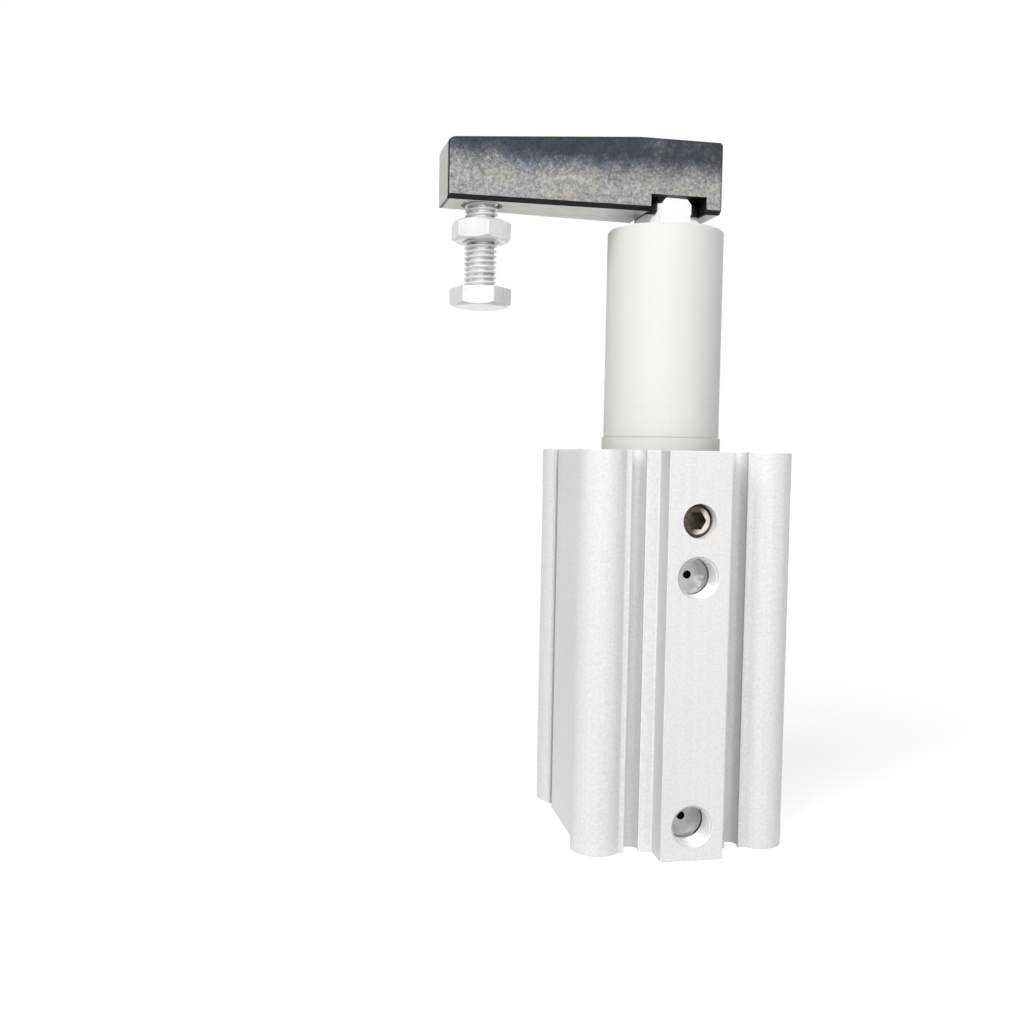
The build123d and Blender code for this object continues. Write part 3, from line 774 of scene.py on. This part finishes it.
class ClampFinishes(bpy.types.PropertyGroup):
    """Colours of the visible finishes, and of the painted shade, light and glints on them."""

    tube_light: colour("Tube light", "Lighter tone of the anodised tube", 0.96, 0.955, 0.945)
    tube_dark: colour("Tube dark", "Darker tone of the anodised tube", 0.79, 0.785, 0.78)
    tube_milled: colour("Tube ends", "Milled ends of the tube", 0.86, 0.86, 0.85)
    # Tone of the painted shade in the switch slots and on the port panel's sides
    tube_shade: colour(
        "Tube slots", "Darkest tone of the switch slots and the panel's sides", 0.45, 0.45, 0.455)
    port_light: colour("Port light", "Lighter tool marks in the ports", 0.94, 0.94, 0.93)
    port_dark: colour("Port dark", "Darker tool marks in the ports", 0.78, 0.78, 0.76)
    cover_light: colour("Neck light", "Lighter tone of the turned neck", 0.91, 0.895, 0.86)
    cover_dark: colour("Neck dark", "Darker tone of the turned neck", 0.81, 0.795, 0.76)
    cover_line: colour("Neck line", "Line above the collar of the neck", 0.40, 0.39, 0.37)
    zinc_cool: colour("Zinc cool", "Cool tint of the zinc plate", 0.84, 0.85, 0.86)
    zinc_warm: colour("Zinc warm", "Warm tint of the zinc plate", 0.88, 0.875, 0.84)
    # Tone of the painted shade in the bolt's thread roots
    zinc_root_shade: colour("Zinc roots", "Roots of the clamp bolt's thread", 0.20, 0.195, 0.17)
    cast_black: colour("Casting black", "Upper sides of the arm", 0.030, 0.038, 0.050)
    # The blue and grey tones of the arm's sides are painted light from below
    cast_blue: colour("Casting blue", "Half-worn middle of the arm's sides", 0.150, 0.161, 0.182)
    cast_lit: colour("Casting grey", "Lower sides of the arm", 0.40, 0.39, 0.375)
    # Tone of the painted glints on the arm
    cast_glint: colour("Casting glint", "Bright grains of the arm", 0.84, 0.85, 0.88)
    # Dark of the arm's edges and notch, partly painted dark reflection and shade
    cast_edge_and_shade: colour("Casting edge", "Lower edges and notch of the arm", 0.007, 0.007, 0.008)
    cast_ground: colour("Casting ground", "Ground underside and tip of the arm", 0.62, 0.62, 0.585)
    cast_ground_dark: colour(
        "Casting ground dark", "Darker lines of the ground faces", 0.50, 0.50, 0.47)


class ClampStudio(bpy.types.PropertyGroup):
    """Camera and light."""

    eye: bpy.props.FloatVectorProperty(
        name="Eye", description="Place of the camera", subtype="TRANSLATION", unit="LENGTH",
        default=(-0.08639, -0.26938, 0.09286))
    yaw: angle("Yaw", "Turn of the view to the right", 0.1781)
    pitch: angle("Pitch", "Tilt of the view upwards", -0.0519)
    roll: angle("Roll", "Roll of the camera", 0.0181)
    lens: number("Lens", "Focal length for a 36 mm wide sensor, in mm", 38.764)
    world_light: number("World", "Strength of the even light", 0.06)
    near_light: number("Front", "Strength of the large lamp in front of the object", 0.55)
    side_light: number("Side", "Strength of the soft sun from the left", 0.46)
    fill_light: number("Fill", "Strength of the soft sun from the right", 0.06)
    back_light: number("Back", "Strength of the soft sun from behind", 0.30)
    near_lamp_size: distance("Lamp size", "Side of the large lamp", 0.4)
    near_lamp_reach: distance("Lamp distance", "Distance of the large lamp from the object", 0.47)
    floor_tone: bpy.props.FloatProperty(
        name="Floor tone", description="Lightness of the floor", subtype="FACTOR", default=0.72)
    floor_glow: number("Floor glow", "What whitens the floor where it is seen directly", 0.6)
    far_glow: number("Far glow", "What whitens the floor far from the object", 0.95)


class CLAMP_OT_tube(bpy.types.Operator):
    """Round the edges of the extrusion and cut its threads"""

    bl_idname = "clamp.tube"
    bl_label = "Tube"

    def execute(self, context):
        shapes = context.scene.clamp_shapes
        tube = merged_copy("cylinder_tube", "tube_threaded")
        self.soften(tube, shapes.tube_edge)
        combine(tube, joined(self.cutters(shapes)), "DIFFERENCE")
        smooth(dress(cleaned(tube), satin_extrusion()))
        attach(tube, "housing")
        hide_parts("cylinder_tube")
        return {"FINISHED"}

    def soften(self, tube, edge):
        """Round the long edges of the section and its rims at both ends."""
        sharp = sharp_edges(tube)
        select_parts(tube, "edges", lambda part, mesh: part.index in sharp and (
            is_upright(part, mesh, TUBE_TOP) or is_outer_rim(part, mesh)
        ))
        bpy.ops.mesh.bevel(offset=edge, segments=2, clamp_overlap=False)
        bpy.ops.object.mode_set(mode="OBJECT")

    def cutters(self, shapes):
        """Thread cutters for both ports and for both ends of the four corner holes."""
        radius = shapes.port_thread / 2
        port = threaded_bar(
            "port_cutter", radius, THREAD_DEPTH * shapes.port_pitch, shapes.port_pitch,
            PANEL_FACE - shapes.port_reach, PANEL_FACE + MM,
        )
        inside, outside = 1.5 * MM, MM
        mouth = start_from(
            "cone", "mouth_cutter", vertices=96, radius1=shapes.port_mouth / 2 - inside,
            radius2=shapes.port_mouth / 2 + outside, depth=inside + outside,
            location=(0, 0, PANEL_FACE + (outside - inside) / 2),
        )
        combine(port, placed(mouth), "UNION")
        groove = start_from(
            "cylinder", "groove_cutter", vertices=96, radius=radius + PLAY, depth=GROOVE,
            location=(0, 0, PANEL_FACE - shapes.port_reach),
        )
        port = cleaned(combine(port, placed(groove), "UNION"))
        placed(port, turn=Matrix.Rotation(pi / 2, 4, "X"))
        ports = copies(port, [(0, 0, height) for height in shapes.port_heights])
        corner = threaded_bar(
            "corner_cutter", shapes.corner_thread / 2, THREAD_DEPTH * shapes.corner_pitch,
            shapes.corner_pitch, 0, shapes.corner_reach + shapes.counterbore / 2,
        )
        half = shapes.hole_pitch / 2
        corners = copies(corner, [
            (x, y, z)
            for x in (-half, half)
            for y in (-half, half)
            for z in (
                shapes.counterbore / 2,
                TUBE_TOP - shapes.counterbore - shapes.corner_reach,
            )
        ])
        return ports + corners


class CLAMP_OT_bolt(bpy.types.Operator):
    """Model the clamp bolt with its hexagon head and rolled thread"""

    bl_idname = "clamp.bolt"
    bl_label = "Clamp bolt"

    def execute(self, context):
        shapes = context.scene.clamp_shapes
        low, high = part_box("clamp_bolt")
        neck = low.z + shapes.head_height
        head = hexagon("bolt_head", shapes.hex_flats, low.z, neck, shapes.head_turn, shapes.hex_edge)
        turned_off(head, shapes.hex_face / 2, low.z, neck, downwards=True)
        radius = shapes.bolt_thread / 2
        shank = threaded_bar(
            "bolt_threaded", radius, THREAD_DEPTH * shapes.bolt_pitch, shapes.bolt_pitch,
            neck - MM, high.z,
        )
        combine(shank, self.tip_shape(radius, shapes.bolt_tip, neck - 2 * MM, high.z), "INTERSECT")
        bolt = combine(shank, head, "UNION")
        placed(bolt, at=axis_of("clamp_bolt"))
        smooth(dress(cleaned(bolt), bright_zinc()))
        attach(bolt, "clamp_bolt")
        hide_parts("clamp_bolt")
        return {"FINISHED"}

    def tip_shape(self, radius, tip, low, high):
        """Round bar with a chamfered upper end, to trim the thread to."""
        bar = placed(start_from(
            "cylinder", "tip_tool", vertices=96, radius=radius + MM / 2, depth=high - low,
            location=(0, 0, (low + high) / 2),
        ))
        select_parts(bar, "polygons", lambda part, mesh: part.normal.z > 0.9)
        bpy.ops.mesh.bevel(offset=tip + MM / 2, segments=1)
        bpy.ops.object.mode_set(mode="OBJECT")
        return bar


class CLAMP_OT_nut(bpy.types.Operator):
    """Model the lock nut with both its chamfers and its countersinks"""

    bl_idname = "clamp.nut"
    bl_label = "Lock nut"

    def execute(self, context):
        shapes = context.scene.clamp_shapes
        low, high = (corner.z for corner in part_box("lock_nut"))
        nut = hexagon("nut_countersunk", shapes.hex_flats, low, high, shapes.nut_turn, shapes.hex_edge)
        for downwards in (True, False):
            turned_off(nut, shapes.hex_face / 2, low, high, downwards)
        combine(nut, self.bore_tool(shapes, low, high), "DIFFERENCE")
        placed(nut, at=axis_of("lock_nut"))
        smooth(dress(cleaned(nut), bright_zinc()))
        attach(nut, "lock_nut")
        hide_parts("lock_nut")
        return {"FINISHED"}

    def bore_tool(self, shapes, low, high):
        """Bore with a countersink at each end, as one tool."""
        radius = shapes.bolt_thread / 2 + PLAY
        sink = shapes.nut_sink
        over = sink + MM
        tools = [start_from(
            "cylinder", "bore_tool", vertices=96, radius=radius, depth=high - low + 2 * MM,
            location=(0, 0, (low + high) / 2),
        )]
        for end, side in ((low, -1), (high, 1)):
            wide, narrow = radius + over, radius
            radii = (wide, narrow) if side < 0 else (narrow, wide)
            tools.append(start_from(
                "cone", "sink_tool", vertices=96, radius1=radii[0], radius2=radii[1], depth=over,
                location=(0, 0, end + side * (MM - sink) / 2),
            ))
        tools = [placed(tool) for tool in tools]
        for tool in tools[1:]:
            combine(tools[0], tool, "UNION")
        return tools[0]


class CLAMP_OT_finishes(bpy.types.Operator):
    """Give the frame's own pieces their finishes"""

    bl_idname = "clamp.finishes"
    bl_label = "Finishes"

    def execute(self, context):
        paint(["rod_cover"], turned_anodised())
        paint(["clamp_arm"], rough_casting())
        paint(["piston_rod"], turned_metal(
            "ground_chrome", (0.72, 0.725, 0.73), (0.84, 0.845, 0.85), 0.14))
        paint(["retaining_ring", "arm_screw", "spring_washer"], black_phosphate())
        paint(["pin_set_screw"], blued_screw())
        paint(["guide_pin"], turned_metal(
            "ground_pin", (0.38, 0.38, 0.39), (0.55, 0.55, 0.56), 0.2))
        paint(["rod_bushing"], turned_metal(
            "sintered_bronze", (0.42, 0.29, 0.13), (0.62, 0.46, 0.24), 0.42))
        paint(["bottom_plate", "seal_retainer", "piston", "magnet_plate"], turned_metal(
            "turned_plate", (0.62, 0.63, 0.64), (0.78, 0.79, 0.80), 0.32))
        paint(["cover_oring", "bottom_oring", "piston_seal", "rod_seal", "scraper"], moulded(
            "seal_rubber", (0.010, 0.010, 0.011), (0.035, 0.035, 0.037)))
        paint(["head_bumper", "rod_bumper"], moulded(
            "stop_rubber", (0.13, 0.10, 0.05), (0.21, 0.17, 0.10)))
        paint(["wear_ring"], moulded(
            "wear_plastic", (0.48, 0.43, 0.34), (0.62, 0.57, 0.47), 0.5))
        paint(["magnet_ring"], moulded(
            "bonded_magnet", (0.05, 0.05, 0.05), (0.14, 0.14, 0.14), 0.5))
        return {"FINISHED"}


class CLAMP_OT_studio(bpy.types.Operator):
    """Add the pale floor, the soft lamps and the camera"""

    bl_idname = "clamp.studio"
    bl_label = "Studio"

    def execute(self, context):
        studio = context.scene.clamp_studio
        self.add_floor(studio)
        self.add_world(context, studio)
        self.add_lamps(studio)
        self.add_camera(context, studio)
        context.scene.view_settings.view_transform = "Standard"
        return {"FINISHED"}

    def seen_directly(self, start):
        """1 for rays from the camera, from gloss and from clear materials."""
        rays = [
            start.node("ShaderNodeLightPath", output=name)
            for name in ("Is Camera Ray", "Is Glossy Ray", "Is Transmission Ray")
        ]
        return (rays[0] + rays[1] + rays[2]).least(1.0)

    def add_floor(self, studio):
        floor = start_from("plane", "studio_floor", size=FLOOR_SIZE, location=(0, 0, -PLAY))
        material = bpy.data.materials.new("pale_floor")
        material.use_nodes = True
        tree = material.node_tree
        tree.nodes.clear()
        start = Field(tree)
        diffuse = start.node("ShaderNodeBsdfDiffuse", None, {"Color": (studio.floor_tone,) * 3 + (1,)})
        away = start.node("ShaderNodeTexCoord", output="Object").length()
        glow = away.span(GLOW_START, GLOW_END, studio.floor_glow, studio.far_glow)
        glow = start.node("ShaderNodeEmission", None, {
            "Color": WHITE, "Strength": self.seen_directly(start) * glow,
        })
        both = start.node("ShaderNodeAddShader", None, {0: diffuse, 1: glow})
        output = tree.nodes.new("ShaderNodeOutputMaterial")
        tree.links.new(output.inputs["Surface"], both.socket)
        floor.data.materials.append(material)

    def add_world(self, context, studio):
        world = bpy.data.worlds.new("studio_world")
        world.use_nodes = True
        tree = world.node_tree
        tree.nodes.clear()
        start = Field(tree)
        seen = self.seen_directly(start)
        glow = seen * (1.0 - studio.world_light) + studio.world_light
        light = start.node("ShaderNodeBackground", None, {"Color": WHITE, "Strength": glow})
        output = tree.nodes.new("ShaderNodeOutputWorld")
        tree.links.new(output.inputs["Surface"], light.socket)
        context.scene.world = world

    def add_lamps(self, studio):
        front = Vector((-0.12, -0.81, 0.57)).normalized()
        side = Vector((-0.65, -0.50, 0.57)).normalized()
        fill = Vector((0.74, -0.60, 0.30)).normalized()
        back = Vector((0.42, 0.80, 0.42)).normalized()
        for name, towards, spread, power in (
            ("side_sun", side, radians(35), studio.side_light),
            ("fill_sun", fill, radians(60), studio.fill_light),
            ("back_sun", back, radians(35), studio.back_light),
        ):
            lamp = self.add_lamp(name, "SUN", towards, towards)
            lamp.angle = spread
            lamp.energy = power * pi
        middle = Vector((0, 0, TUBE_TOP))
        near = self.add_lamp("front_lamp", "AREA", middle + front * studio.near_lamp_reach, front)
        near.size = studio.near_lamp_size
        near.energy = studio.near_light * (pi * studio.near_lamp_reach) ** 2

    def add_lamp(self, name, kind, place, towards):
        bpy.ops.object.light_add(type=kind, location=place)
        lamp = bpy.context.object
        lamp.name = name
        lamp.rotation_euler = towards.to_track_quat("Z", "Y").to_euler()
        return lamp.data

    def add_camera(self, context, studio):
        bpy.ops.object.camera_add()
        camera = bpy.context.object
        camera.name = "studio_camera"
        camera.data.sensor_width = 36.0
        camera.data.lens = studio.lens
        camera.data.clip_start = 0.01
        camera.matrix_world = (
            Matrix.Translation(studio.eye)
            @ Matrix.Rotation(-studio.yaw, 4, "Z")
            @ Matrix.Rotation(pi / 2 + studio.pitch, 4, "X")
            @ Matrix.Rotation(studio.roll, 4, "Z")
        )
        context.scene.camera = camera


class CLAMP_PT_panel(bpy.types.Panel):
    """Lists the steps of the dressing"""

    bl_label = "Swing clamp cylinder"
    bl_idname = "CLAMP_PT_panel"
    bl_space_type = "VIEW_3D"
    bl_region_type = "UI"
    bl_category = "Clamp"

    def draw(self, context):
        for step in STEPS:
            self.layout.operator(step.bl_idname)
        for group in GROUPS:
            for name in GROUPS[group].__annotations__:
                self.layout.prop(getattr(context.scene, group), name)


STEPS = (CLAMP_OT_tube, CLAMP_OT_bolt, CLAMP_OT_nut, CLAMP_OT_finishes, CLAMP_OT_studio)
GROUPS = {"clamp_shapes": ClampShapes, "clamp_finishes": ClampFinishes, "clamp_studio": ClampStudio}
CLASSES = tuple(GROUPS.values()) + STEPS + (CLAMP_PT_panel,)


def register():
    for item in CLASSES:
        bpy.utils.register_class(item)
    for name, group in GROUPS.items():
        setattr(bpy.types.Scene, name, bpy.props.PointerProperty(type=group))


def unregister():
    for name in GROUPS:
        delattr(bpy.types.Scene, name)
    for item in reversed(CLASSES):
        bpy.utils.unregister_class(item)


def main():
    register()
    bpy.ops.clamp.tube()
    bpy.ops.clamp.bolt()
    bpy.ops.clamp.nut()
    bpy.ops.clamp.finishes()
    bpy.ops.clamp.studio()


if __name__ == "__main__":
    main()
